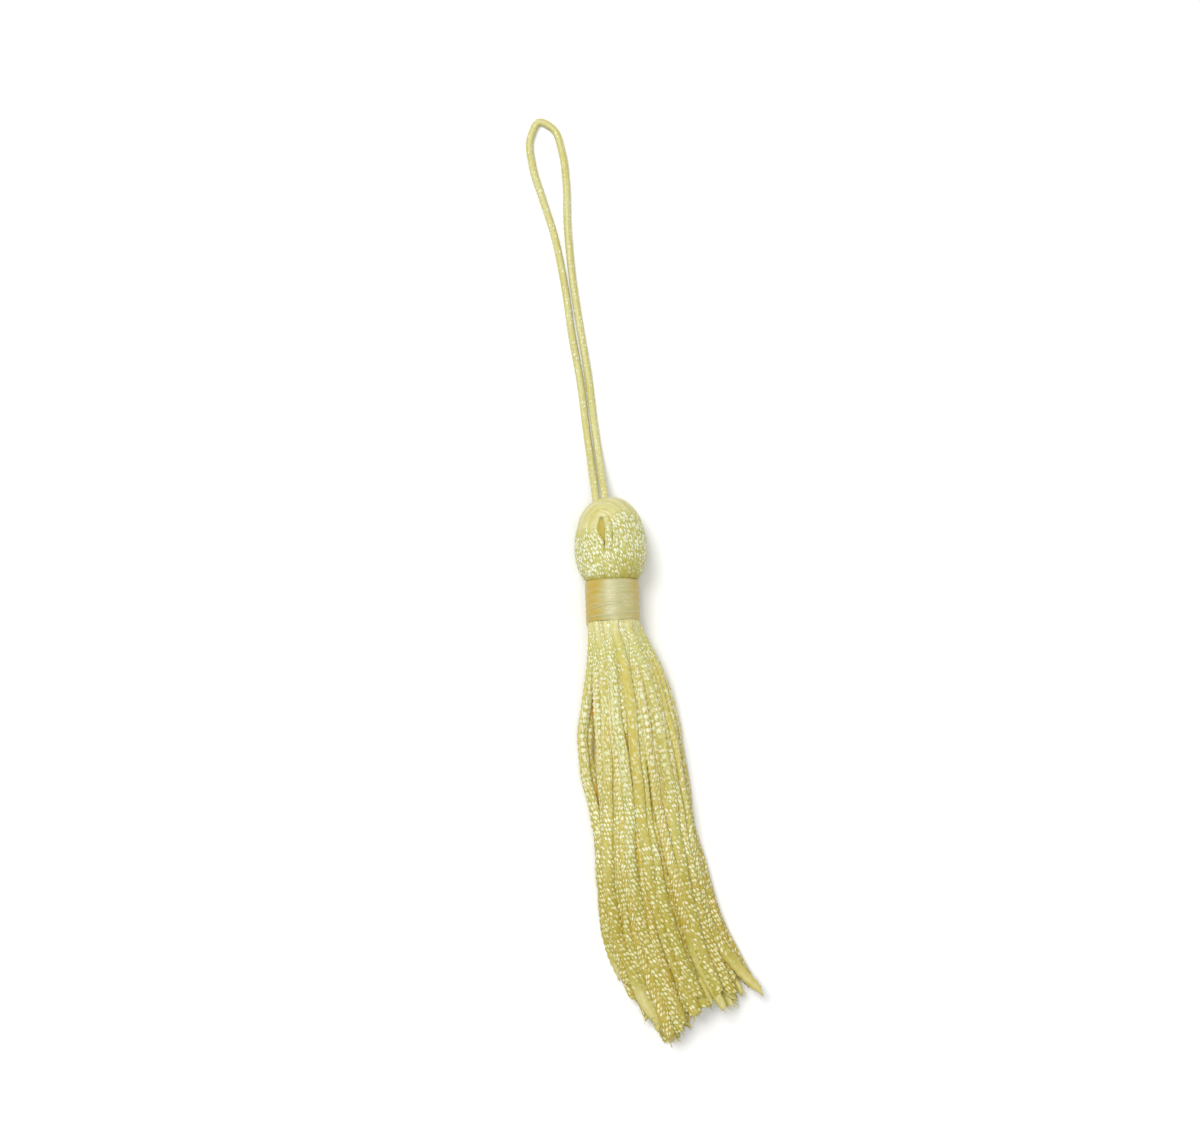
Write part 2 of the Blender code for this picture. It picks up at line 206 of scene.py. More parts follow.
CROWN = (9.3, 12.3)  # where the smooth silk of the crown starts and is in full, in mm above the binding
CROWN_SLANT = 1.9 * MM  # how much higher that is on the right
CROWN_FRONT = (4.0, 8.0)  # in mm above the surface, as the back of the crown has stitches
CORE_SINK = 0.75 * MM
CORE_STEPS = 28
CORE_STRIDE = 6

# Loop, with the route of the part's source in mm: right of the axis; beyond the crown; above the surface
CORD_DIAMETER = 1.3 * MM
LOOP_COLUMNS = ("x", "beyond_crown", "z")
LOOP_ROUTE = (
    (-2.30, -1.6, 6.2),
    (-2.55, 0.05, 5.9),
    (-2.92, 4.0, 4.5),
    (-3.39, 9.0, 1.7),
    (-3.99, 15.0, 0.68),
    (-4.80, 24.0, 0.68),
    (-6.20, 34.0, 0.68),
    (-7.33, 44.0, 0.68),
    (-9.03, 54.0, 0.68),
    (-11.22, 62.0, 0.68),
    (-12.94, 68.5, 0.68),
    (-13.15, 74.0, 0.68),
    (-11.20, 77.3, 0.68),
    (-8.50, 75.8, 0.68),
    (-6.90, 71.0, 0.68),
    (-6.27, 64.5, 0.68),
    (-6.30, 56.0, 0.68),
    (-5.74, 46.0, 0.68),
    (-4.61, 36.0, 0.68),
    (-3.30, 26.0, 0.68),
    (-2.39, 16.0, 0.68),
    (-1.74, 9.5, 1.7),
    (-1.22, 4.0, 4.5),
    (-0.85, 0.20, 5.9),
    (-1.05, -1.6, 6.2),
)

# Binding
BINDING_RADIUS = 5.3 * MM
BINDING_WRAPS = 21
BINDING_SIDES = 128
WRAP_PROFILE = ((0.08, 0.0), (0.3, 0.8), (0.5, 1.0), (0.7, 0.8), (0.92, 0.0))
WRAP_RELIEF = 0.03 * MM
BINDING_EDGE = 0.34 * MM  # how far the edges are drawn in
BINDING_INSIDE = 0.60 * MM
RAGGED_AT = math.radians(200)
LOOSE_TURNS = 4
LOOSE_TURN_POINTS = 72
LOOSE_TURN_THICKNESS = 0.025 * MM


# ---- camera


def make_camera():
    """The photograph's view: high above the tassel, turned so that the skirt leans to the right."""
    data = bpy.data.cameras.new("camera")
    data.lens = LENS
    data.sensor_width = SENSOR
    data.clip_start = 0.01
    data.clip_end = 20.0
    level, rise = math.cos(CAMERA_ELEVATION), math.sin(CAMERA_ELEVATION)
    back = Vector((math.sin(CAMERA_AZIMUTH) * level, -math.cos(CAMERA_AZIMUTH) * level, rise))
    camera = placed("camera", data)
    camera.location = AIM + back * (FRAME_WIDTH * LENS / SENSOR)
    look_along(camera, -back)
    bpy.context.scene.camera = camera


def placed(name, data):
    """A new object in the scene."""
    made = bpy.data.objects.new(name, data)
    bpy.context.collection.objects.link(made)
    return made


def look_along(made, direction):
    """Turns a camera or a lamp to a direction."""
    made.rotation_mode = "QUATERNION"
    made.rotation_quaternion = direction.to_track_quat("-Z", "Y")


# ---- curves and meshes


def columns(names, rows, plain=()):
    """A table's columns as arrays by name, turned from mm to metres apart from the plain ones."""
    values = np.array(rows, dtype=float).T
    return {name: column if name in plain else column * MM for name, column in zip(names, values)}


def smooth_between(knots, values, at):
    """Values at the given places, on smooth curves through the known ones (cubic Hermite)."""
    values = np.asarray(values, dtype=float)
    slope = np.gradient(values, knots, axis=0)
    i = np.clip(np.searchsorted(knots, at, side="right") - 1, 0, len(knots) - 2)
    span = knots[i + 1] - knots[i]
    t = (at - knots[i]) / span
    shape = (len(at),) + (1,) * (values.ndim - 1)
    t, span = t.reshape(shape), span.reshape(shape)
    a, b = values[i], values[i + 1]
    bend = (1 - t) * (a - b + slope[i] * span) + t * (b - a - slope[i + 1] * span)
    return a + t * (b - a) + t * (1 - t) * bend


def even_route(points, step):
    """Points a step apart on a smooth curve through the given ones."""
    knots = distance_along(points)
    fine = smooth_between(knots, points, np.linspace(0.0, knots[-1], 24 * len(points)))
    travelled = distance_along(fine)
    stops = np.linspace(0.0, travelled[-1], round(travelled[-1] / step) + 1)
    return np.column_stack([np.interp(stops, travelled, fine[:, k]) for k in range(3)])


def distance_along(points):
    return np.concatenate([[0.0], np.cumsum(np.linalg.norm(np.diff(points, axis=0), axis=1))])


def unit(vectors):
    return vectors / np.maximum(np.linalg.norm(vectors, axis=-1, keepdims=True), 1e-12)


def ramp(distance, start, full, most=1.0):
    """0 up to start and 1 at full, both in mm, and on up to most. Start may be the greater of the two."""
    return np.clip((distance / MM - start) / (full - start), 0.0, most)


def hump(distance, middle, reach):
    """1 in the middle, and little more than nothing two reaches away, both in mm."""
    return np.exp(-(((distance / MM - middle) / reach) ** 2))


def circle(count):
    """Angles spread evenly around a circle."""
    return 2 * math.pi * np.arange(count) / count


def on_surface(rings):
    """Lets nothing reach below the surface that the tassel lies on."""
    rings[..., 2] = np.maximum(rings[..., 2], FLOOR_CLEARANCE)


class Cloth:
    """Collects tubes and turns them into one mesh piece.

    Each vertex has a place in the knit (stitches along, wales around), and the values that the materials read:
    tone, which differs from cord to cord and is below 0 where the silk is pale and smooth, and on the binding
    is painted shade, golden on its sides; shine, the share of stitches with a painted glint; then painted
    shade, from 0 outside to 1 far inside the bundle, which also carries the gold of bare strands; fine, 1 where
    the stitches are small; and last painted shade, which darkens the colour as it grows, most towards the tips
    of the skirt.
    """

    def __init__(self):
        self.points, self.faces, self.knit, self.bake, self.values = [], [], [], [], []
        self.count = 0
        self.tubes = 0

    def tube(self, rings, knit_u, wales, tone, shine, depth, fine=1.0, rich=0.0, closed=True):
        """rings is an array (rings, sides, 3). The values have one number, or one for each ring or point."""
        n, sides = rings.shape[:2]
        # The corners of the faces, between ring i and the next and between side k and the next
        i, k = np.indices((n - 1, sides)).reshape(2, -1, 1)
        i, k = i + np.array([0, 0, 1, 1]), k + np.array([0, 1, 1, 0])
        self.faces.append(self.count + i * sides + k % sides)
        self.knit.append(np.stack([np.asarray(knit_u)[i], k / sides * wales], axis=-1))
        across = BAKE_MARGIN + (1 - 2 * BAKE_MARGIN) * k / sides
        self.bake.append(np.stack([i / (n - 1), self.tubes + across], axis=-1))
        self.points.append(rings.reshape(-1, 3))
        shown = []
        for value in (tone, shine, depth, fine, rich):
            column = value if np.ndim(value) == 2 else np.reshape(value, (-1, 1))
            shown.append(np.broadcast_to(column, (n, sides)))
        self.values.append(np.stack(shown, axis=-1).reshape(-1, len(shown)))
        self.tubes += 1
        if closed:
            first = self.count + np.arange(sides)
            self.cap(first[::-1], knit_u[0], wales)
            self.cap(first + (n - 1) * sides, knit_u[-1], wales)
        self.count += n * sides

    def cap(self, ring, knit_u, wales):
        """A flat end, a strip of quads across the ring, with the stitches of its two sides running into it."""
        sides = len(ring)
        for j in range(sides // 2 - 1):
            corners = [j, j + 1, sides - 2 - j, sides - 1 - j]
            self.faces.append(ring[corners][None])
            around = np.array(corners) / sides * wales
            self.knit.append(np.column_stack([np.full(4, knit_u), around])[None])
            spot = np.array([0.5 + 2 * BAKE_CAP * j, self.tubes - 1 + BAKE_MARGIN / 2])
            self.bake.append(spot + BAKE_CAP * np.array([[[0, 0], [1, 0], [1, 2], [0, 2]]]))

    def piece(self, name, look, node):
        """The finished mesh object, riding on the tassel's one body."""
        mesh = bpy.data.meshes.new(name)
        points = np.concatenate(self.points)
        faces = np.concatenate(self.faces)
        mesh.vertices.add(len(points))
        mesh.vertices.foreach_set("co", points.astype(np.float32).ravel())
        mesh.loops.add(faces.size)
        mesh.loops.foreach_set("vertex_index", faces.astype(np.int32).ravel())
        mesh.polygons.add(len(faces))
        mesh.polygons.foreach_set("loop_start", np.arange(0, faces.size, 4, dtype=np.int32))
        mesh.polygons.foreach_set("use_smooth", np.ones(len(faces), dtype=bool))
        bake = np.concatenate(self.bake).reshape(-1, 2)
        bake[:, 1] /= self.tubes
        for title, values in (("OFBake", bake), ("knit", np.concatenate(self.knit).reshape(-1, 2))):
            layer = mesh.uv_layers.new(name=title, do_init=False)
            layer.uv.foreach_set("vector", values.astype(np.float32).ravel())
        values = np.concatenate(self.values)
        for k, title in enumerate(VALUES):
            attribute = mesh.attributes.new(title, "FLOAT", "POINT")
            attribute.data.foreach_set("value", np.ascontiguousarray(values[:, k], dtype=np.float32))
        mesh.update()
        mesh.validate()
        mesh.materials.append(look)
        made = placed(name, mesh)
        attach(made, "root")
        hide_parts(node)
        return made


def stitched_rings(path, across, out, half_width, half_thick, knit_u, wales, roll, relief, flat=2.0):
    """Rings around a path with a bead on each stitch of each wale, and each point's place to the side, -1 to 1.

    across and out are unit vectors at each point. roll turns the knit around the cord. flat is the exponent of
    the section: 2 is an ellipse, more is squarer.
    """
    n = len(path)
    sides = SIDES_PER_WALE * wales
    turn = circle(sides)[None] + np.broadcast_to(roll, (n,))[:, None]
    side, up = np.cos(turn), np.sin(turn)
    swell = (np.abs(side) ** flat + np.abs(up) ** flat) ** (-1.0 / flat)
    place = np.arange(sides) / SIDES_PER_WALE
    wale = np.round(place)
    around = np.cos(math.pi * (place - wale)) ** 2
    phase = np.asarray(knit_u)[:, None] + 0.5 * (wale % 2)[None]
    bead = (0.5 + 0.5 * np.cos(2 * math.pi * phase)) * around
    raised = BEAD_RELIEF * np.broadcast_to(relief, (n,))[:, None] * (1.6 * bead - 0.6)
    wide = swell * side * (np.asarray(half_width)[:, None] + raised)
    tall = swell * up * (np.asarray(half_thick)[:, None] + raised)
    rings = path[:, None] + across[:, None] * wide[..., None] + out[:, None] * tall[..., None]
    return rings, side


# ---- skirt


def bundle_places():
    """Each strand's place in the round bundle at the neck: a hexagonal packing in a unit disc."""
    reach = range(-8, 9)
    lattice = [(i + 0.5 * j + 0.31, j * math.sqrt(0.75) + 0.17) for i in reach for j in reach]
    lattice.sort(key=lambda place: math.hypot(*place))
    places = np.array(lattice[:STRANDS])
    return places / np.hypot(*places.T).max()


def keep_apart(places, pitch, lowest):
    """Moves crowded strands apart, none of them below lowest. pitch is the room that one strand takes."""
    for _ in range(CROWDING_ROUNDS):
        between = (places[:, None] - places[None]) / pitch
        distance = np.hypot(between[..., 0], between[..., 1])
        np.fill_diagonal(distance, 2.0)
        crowding = np.clip(1.0 - distance, 0.0, None) / distance
        places = places + CROWDING_PUSH * pitch * (between * crowding[..., None]).sum(axis=1)
        places[:, 1] = np.maximum(places[:, 1], lowest)
    return places


def stray_bow(strays, side, below):
    """How far each stray strand bows out of the bundle at one cross-section."""
    bows = np.zeros(len(side))
    for row, (out, bow, widest, reach) in enumerate(zip(*strays.values())):
        stray = np.argsort(-side * out)[row]
        bows[stray] += out * bow * math.exp(-(((below - widest) / reach) ** 2))
    return bows


def planned_places(disc, drift, strays, section):
    """Where the strands would lie at one cross-section if they took no room from each other."""
    body_rise = section["rise"] - GAP
    loose = min(1.0, (section["below"] - STRAND_START) / LOOSE_FROM)
    spot = disc + loose * WANDER * np.sin(drift + 2 * math.pi * section["below"] / WANDER_WAVE)
    side, level = (spot / max(1.0, np.hypot(*spot.T).max())).T
    arch = np.sqrt(np.clip(1.0 - side * side, 0.0, None))
    base = 1.0 - section["flatness"] * (1.0 - arch)
    half_width = section["half_width"] - 0.5 * (section["across"] - GAP)
    half_rise = 0.5 * (section["top"] - section["underside"] - body_rise)
    x = section["sway"] + half_width * side + stray_bow(strays, disc[:, 0], section["below"])
    z = section["underside"] + 0.5 * body_rise + half_rise * (base + level)
    return np.column_stack([x, z])


def skirt_routes():
    """The centre of every strand at each cross-section, and the table of the cross-sections."""
    table = columns(SKIRT_COLUMNS, SKIRT_SECTIONS, plain=("flatness",))
    strays = columns(STRAY_COLUMNS, STRAYS, plain=("side",))
    disc = bundle_places()
    drift = np.random.default_rng(SEED).uniform(0.0, 2 * math.pi, (STRANDS, 2))
    between = np.arange(table["below"][0], table["below"][-1], SETTLING_STEP)
    stops = np.union1d(between, table["below"])
    sections = {name: np.interp(stops, table["below"], table[name]) for name in SKIRT_COLUMNS}
    routes = []
    moved = np.zeros((STRANDS, 2))
    for row in range(len(stops)):
        section = {name: values[row] for name, values in sections.items()}
        planned = planned_places(disc, drift, strays, section)
        room = np.array([section["across"], section["rise"]])
        lowest = section["underside"] + FLAT_RING_DROP * (section["rise"] - GAP)
        settled = keep_apart(planned + moved, room, lowest)
        moved = SETTLING_KEPT * (settled - planned)
        routes.append(settled)
    apart = np.diff(stops, prepend=-1.0) > 0.1 * MM
    return np.array(routes)[apart], {name: values[apart] for name, values in sections.items()}


def strand_lengths(side):
    """How far below the binding each strand ends: the longest to the left of the middle, and unevenly cut."""
    table = columns(TIP_COLUMNS, TIPS, plain=("side",))
    dice = np.random.default_rng(SEED + 1)
    return np.interp(side, table["side"], table["length"]) + dice.uniform(-1.0, 1.0, STRANDS) * LENGTH_SPREAD


def parted(routes, below):
    """The strands' centres at each cross-section, with the partings open."""
    moved = routes.copy()
    for k in range(STRANDS):
        moved[:, k, 0] += parting_push(*routes[:, k].T, below)
    return moved


def roofs(x, below, others, sections):
    """How high the other strands reach to the left and to the right of each place x, a row for each ring."""
    row = np.interp(below, sections["below"], np.arange(len(others)))
    first = np.minimum(row.astype(int), len(others) - 2)
    share = (row - first)[:, None, None]
    spots = others[first] * (1 - share) + others[first + 1] * share
    half_rise = ROOF_RISE * np.interp(below, sections["below"], sections["rise"])[:, None, None]
    away = (x[..., None] - spots[:, None, :, 0]) / ROOF_REACH
    top = np.where(np.abs(away) < 1.0, spots[:, None, :, 1] + half_rise * (1.0 - away**2), 0.0)
    return np.where(away > 0.0, top, 0.0).max(axis=2), np.where(away <= 0.0, top, 0.0).max(axis=2)


def painted_gap_shade_under(rings, below, others, sections):
    """How much painted shade each point of a strand gets from how far down it lies between those beside it,
    from 0 in the open to 1 in a narrow gap.
    """
    left, right = roofs(rings[..., 0] - ORIGIN[0], below, others, sections)
    under = 0.2 * np.maximum(left, right) + 0.8 * np.minimum(left, right) - rings[..., 2]
    return ramp(under, *IN_SHADE) * (1.0 - 0.85 * ramp(under, *IN_THE_OPEN))


def lift_between(x, z, half_thick, below, others, sections):
    """How far a strand is lifted towards its two neighbours where it lies just under them."""
    left, right = roofs(x[:, None], below, others, sections)
    under = np.minimum(left, right)[:, 0] - half_thick - z
    return LIFT * ramp(under, 0.0, 1.0) * ramp(under, *LIFTED) * ramp(below, *LIFTING)


def skirt_pieces(look):
    """The strands of the skirt, in four pieces, with their frayed ends."""
    routes, sections = skirt_routes()
    side = (routes[-1, :, 0] - sections["sway"][-1]) / sections["half_width"][-1]
    lengths = strand_lengths(side)
    crowd = parted(routes, sections["below"])
    dice = np.random.default_rng(SEED + 2)
    order = np.argsort(routes[len(routes) // 2, :, 0])
    for g, members in enumerate(np.array_split(order, PIECES)):
        cloth = Cloth()
        for k in members:
            trimmed = dice.uniform(0.0, TRIMMED) if side[k] > -0.2 else 0.0
            others = np.delete(crowd, k, axis=1)
            add_strand(cloth, routes[:, k], sections, lengths[k] - trimmed, side[k], others, dice)
        cloth.piece(f"strands_{g + 1}", look, "cords_and_head")
    root = Cloth()
    add_root(root)
    root.piece("strand_root", look, "cords_and_head")


def add_root(cloth):
    """The strands pressed together below the binding, just under the outer ones."""
    table = columns(SKIRT_COLUMNS, SKIRT_SECTIONS, plain=("flatness",))
    below = np.linspace(-2.0, 13.0, 40) * MM
    turn = circle(40)
    rings = []
    for y in below:
        names = ("sway", "half_width", "top", "underside")
        sway, half_width, top, underside = (np.interp(y, table["below"], table[name]) for name in names)
        inset = (0.15 + 1.3 * ramp(y, 0.0, 11.0, most=2.0) ** 2) * MM
        x = sway + (half_width - inset) * np.cos(turn)
        z = 0.5 * (top + underside) + (0.5 * (top - underside) - inset) * np.sin(turn)
        rings.append(np.column_stack([x, np.full(len(turn), -y), z]))
    # painted shade on the pressed strands, stronger further below the binding
    depth = ramp(below, 3.0, 23.0, most=0.4)
    cloth.tube(np.array(rings) + ORIGIN, below / STITCH, 24.0, -ramp(below, *FUSED), 0.9, depth)


def add_strand(cloth, route, sections, length, side_of_skirt, others, dice):
    """One knitted cord from under the binding to its cut end."""
    knots = np.concatenate([TUCK, sections["below"]])
    axis = np.array([0.0, AXIS_HEIGHT])
    places = np.concatenate([axis + (route[0] - axis) * TUCK_INWARD[:, None], route])
    below, knit_u = stitches_along(knots[0], length, dice)
    across = np.interp(below, sections["below"], sections["across"])
    rise = np.interp(below, sections["below"], sections["rise"])
    to_end = length - below
    near_neck = ramp(below, *FUSED)
    half_width = 0.5 * across * (dice.uniform(*WIDER) + 0.3 * near_neck)
    half_thick = 0.5 * rise * dice.uniform(*THICKER)
    bare_end = dice.random() < 0.15 + 0.25 * (side_of_skirt > 0.05) + 0.3 * (side_of_skirt < -0.55)
    at_end = ramp(to_end, *CUT) ** 2
    half_width = half_width * (1.0 - dice.uniform(0.0, 0.45) * at_end)
    smooth_end = bare_end * ramp(dice.uniform(7, 18) * MM - to_end, 0.0, 7.0)
    half_width = half_width * (1.0 - 0.15 * smooth_end) * (1.0 - 0.25 * bare_end * ramp(to_end, *POINTED) ** 2)
    half_thick = half_thick * (1.0 - 0.4 * smooth_end)
    bare = ramp(below, *BARE_FROM) * ramp(below, *BARE_TO) * (dice.random() < 0.05)
    half_width = half_width * (1.0 - 0.42 * bare)

    spot = smooth_between(knots, places, below)
    phase, x, z = strand_way(spot, below, half_thick, side_of_skirt, bare_end, dice)
    x = x + parting_push(x, z, below)
    x = x + fill_behind_strays(x, z, below)
    z = z + lift_between(x, z, half_thick, below, others, sections)
    path = np.column_stack([x, -below, z]) + ORIGIN
    tilt = 0.40 * np.sin(2 * math.pi * below / (55 * MM) + phase[1]) * ramp(below, *LOOSE)
    tilt = tilt * ramp(z - half_thick, 0.0, 1.5)
    along = unit(np.gradient(path, axis=0))
    level = unit(np.cross([0.0, 0.0, 1.0], along))
    up = unit(np.cross(along, level))
    flat = level * np.cos(tilt)[:, None] + up * np.sin(tilt)[:, None]
    out = unit(np.cross(along, flat))
    paired = ramp(below, *PAIRED)
    roll = dice.choice([0.0, 0.5]) * math.pi + dice.normal(0, 0.1)
    roll = roll + paired * dice.choice([-0.25, 0.25, 0.5]) * math.pi
    roll = roll + 0.15 * np.sin(2 * math.pi * below / (90 * MM) + phase[2])
    relief = 1.0 - 0.8 * near_neck
    size = (half_width, half_thick)
    rings, side = stitched_rings(path, flat, out, *size, knit_u, WALES, roll, relief, SQUARENESS)
    slanted_cut = dice.uniform(-1.0, 1.0) * MM * side * at_end[:, None]
    rings = rings + along[:, None] * slanted_cut[..., None]
    tuck_under_binding(rings, below)
    on_surface(rings)

    tone = dice.uniform(0.0, 1.0) * (1.0 - near_neck) - near_neck
    wale = np.round(np.arange(side.shape[1]) / SIDES_PER_WALE) % WALES
    smooth_wale = (wale == dice.integers(0, WALES)) & (dice.random() < 0.5)
    plain = np.where(smooth_wale[None], 0.5 + 0.45 * paired[:, None], 1.0)
    # how many stitches get a painted glint, fewer at the neck
    shine = dice.uniform(0.72, 1.08) * np.maximum(ramp(below, -3.0, 6.0), 0.4)
    fine = np.maximum(ramp(below, *SMALL_ABOVE), ramp(below, *SMALL_BELOW))
    # Painted shade, darker towards the tips, weaker in a painted highlight band and on smooth ends
    rich = ramp(below, *PAINTED_SHADE_DOWN, most=1.2) - 0.45 * hump(below, *PAINTED_SHEEN_BAND)
    rich = np.clip(rich * dice.uniform(0.85, 1.15), 0.0, 1.2) * (1.0 - 0.65 * smooth_end)
    shine = shine * (1.0 - 0.45 * bare)
    tone = tone * (1.0 - bare) + 1.2 * bare
    tone = tone * (1.0 - smooth_end) - dice.uniform(0.4, 0.9) * smooth_end
    shine = (shine * (1.0 - 0.9 * smooth_end))[:, None] * plain
    knit_turn = WALES * dice.choice([-1, 1])
    # Painted shade between the strands and on their flanks, none at the cut end, and the gold of bare strands
    # and smooth wales, which is their own
    covered = ((1.0 - 0.85 * near_neck) * ramp(to_end, *COVERED))[:, None]
    depth = painted_gap_shade_under(rings, below, others, sections) * np.maximum(ramp(below, *OPENED), 0.1)[:, None]
    golden = np.maximum(0.42 * bare[:, None], 0.4 * (1.0 - plain))
    depth = np.maximum(np.maximum(depth, 0.22 * np.abs(side) ** 3), golden) * covered
    cloth.tube(rings, knit_u, knit_turn, tone, shine, depth, fine, rich)
    add_fray(cloth, path[-1], along[-1], flat[-1], half_width[-1], half_thick[-1], tone[-1], dice)


def stitches_along(first, length, dice):
    """How far below the binding each ring of a strand is, and its place in the knit."""
    grid = np.linspace(first, length, GRID)
    pitch = (TIGHT_STITCH + (STITCH - TIGHT_STITCH) * ramp(grid, *EASED)) * dice.uniform(0.94, 1.06)
    stitches = np.concatenate([[0.0], np.cumsum(np.diff(grid) / pitch[1:])])
    knit_u = np.arange(0.0, stitches[-1], 1 / RINGS_PER_STITCH)
    return np.interp(knit_u, stitches, grid), knit_u + dice.uniform(0, 400)


def strand_way(spot, below, half_thick, side_of_skirt, bare_end, dice):
    """The phases of a strand's waves, and its way right and up with a wobble and a loose, curled end."""
    wave = dice.uniform(9.0, 16.0) * MM
    phase = dice.uniform(0, 2 * math.pi, 3)
    wobble = 0.10 * MM * ramp(below, *LOOSE) * np.sin(2 * math.pi * below / wave + phase[0])
    splay = ramp(below, *SPLAYED, most=1.5) ** 2
    on_right = min(1.0, max(0.0, 1.5 * side_of_skirt))
    curl = ramp(below, *CURLED, most=1.5) ** 2 * on_right * (1.0 + 0.5 * bare_end)
    x = spot[:, 0] + wobble + (splay * dice.uniform(-0.7, 0.9) + curl * dice.uniform(1.0, 4.6)) * MM
    z = np.maximum(spot[:, 1] - splay * dice.uniform(0.0, 0.8) * MM, half_thick + FLOOR_CLEARANCE)
    return phase, x, z


def parting_push(x, z, below):
    """How far a strand is pushed aside by the partings, which open in the upper half of the skirt alone."""
    table = columns(PARTING_COLUMNS, PARTINGS, plain=("lean",))
    push = np.zeros(len(x))
    for right, lean, middle, reach, width in zip(*table.values()):
        down = below - middle
        away = x - right - lean * down
        side = 1.0 if np.interp(middle, below, away) > 0.0 else -1.0
        push = push + 0.5 * width * side * hump(away, 0.0, 1.3) * np.exp(-((down / reach) ** 2))
    return push * ramp(z, *UPPER)


def fill_behind_strays(x, z, below):
    """How far the lower strands next to the stray ones on the left follow them out."""
    beside = np.interp(STRAY_GAP[0] * MM, below, x)
    if not -5.4 * MM < beside < -1.0 * MM:
        return 0.0
    return STRAY_FILL * ramp(z, *LOWER) * ramp(beside, -1.0, -4.0) * hump(below, *STRAY_GAP)


def tuck_under_binding(rings, below):
    """Draws the start of a strand in, so that it comes out under the edge of the binding."""
    limit = BINDING_RADIUS - 0.55 * MM + 0.8 * np.clip(below + 0.2 * MM, 0.0, None)
    right = rings[..., 0] - ORIGIN[0]
    above = rings[..., 2] - AXIS_HEIGHT
    drawn = np.minimum(1.0, limit[:, None] / np.maximum(np.hypot(right, above), 0.1 * MM))
    rings[..., 0] = ORIGIN[0] + right * drawn
    rings[..., 2] = AXIS_HEIGHT + above * drawn


def add_fray(cloth, end, along, across, half_width, half_thick, tone, dice):
    """Loose filaments at a cut end."""
    up = np.cross(across, along)
    for _ in range(dice.integers(1, 5)):
        side, lift = dice.uniform(-0.8, 0.8, 2)
        start = end - along * 0.6 * MM + across * half_width * side + up * half_thick * lift
        spread = across * (side * 0.5 + dice.normal(0, 0.15)) + up * (lift * 0.3 + dice.normal(0, 0.12))
        length = dice.uniform(0.6, 2.2) * MM
        t = np.linspace(0.0, 1.0, 5)[:, None]
        path = start + along * length * t + spread * length * t * t
        path[:, 2] = np.maximum(path[:, 2], 0.09 * MM)
        thin = np.linspace(0.10, 0.05, 5) * MM
        turn = circle(4)
        ring = across * np.cos(turn)[:, None] + up * np.sin(turn)[:, None]
        rings = path[:, None] + ring[None] * thin[:, None, None]
        on_surface(rings)
        # with a few painted glints
        cloth.tube(rings, np.full(5, 0.5), 0.5, tone, 0.2, 0.0)


# ---- head


def head_plan():
    """The rows of the folded bundle, from the left of the neck over the eye to the right of the neck.

    Columns: the point beside the eye and the point on the outline, both in the plane of the face, and the half
    thickness.
    """
    table = columns(HEAD_COLUMNS, HEAD_SECTIONS)
    table["eye_width"] = table["eye_width"] * (1.0 - 0.5 * ramp(table["height"], 9.8, 11.7))
    legs = list(zip(*table.values()))
    left, fold, right = [], [], []
    for height, width, thickness, eye in legs:
        y = BINDING_LENGTH + height
        left.append((eye_lean(height) - eye / 2, y, -width, y, thickness))
        right.append((eye_lean(height) + eye / 2, y, width, y, thickness))
    height, width, thickness, eye = legs[-1]
    top = BINDING_LENGTH + height
    for k in range(1, FOLD_STEPS):
        turn = math.pi * k / FOLD_STEPS
        x, y = -math.cos(turn), math.sin(turn)
        narrower = 1 - SHOULDER * math.sin(2.5 * min(turn, math.pi - turn))
        fold.append((x * eye / 2, top + y * eye / 2, x * width * narrower, top + y * CROWN_RISE, thickness))
    return np.array(left + fold + right[::-1])


def eye_lean(height):
    """How far the lower end of the eye leans to the right."""
    return 0.45 * MM * float(np.interp(height, (2 * MM, 6.6 * MM, 9.6 * MM), (0.0, 1.0, 0.0)))


def rolled(x, z):
    """A place right of the tassel's axis and above it, turned as the head is, whose face looks a bit left."""
    cosine, sine = math.cos(HEAD_ROLL), math.sin(HEAD_ROLL)
    return x * cosine - z * sine, AXIS_HEIGHT + x * sine + z * cosine


def head_surface(plan, angle):
    """Points of the head for plan rows and an angle, from 0 beside the eye to pi in the middle of the back."""
    away, lift = np.sin(angle), np.cos(angle)
    inner = plan[:, 0] * (0.5 + 0.5 * lift)
    x, z = rolled(inner + (plan[:, 2] - inner) * away, plan[:, 4] * lift)
    return np.column_stack([x, plan[:, 1] + (plan[:, 3] - plan[:, 1]) * away, z]) + ORIGIN


def head_piece(look):
    """The folded cords of the head, each its own tube around the eye, over a core that closes the gaps."""
    plan = head_plan()
    knots = distance_along(head_surface(plan, math.pi / 2))
    at = np.linspace(0.0, knots[-1], round(knots[-1] / HEAD_STEP) + 1)
    plan = smooth_between(knots, plan, at)
    dice = np.random.default_rng(SEED + 3)
    cloth = Cloth()
    for number in range(CORDS_PER_SIDE):
        add_head_cord(cloth, plan, number, dice)
    add_core(cloth, plan[::CORE_STRIDE])
    add_eye_floor(cloth)
    cloth.piece("head_cords", look, "cords_and_head")


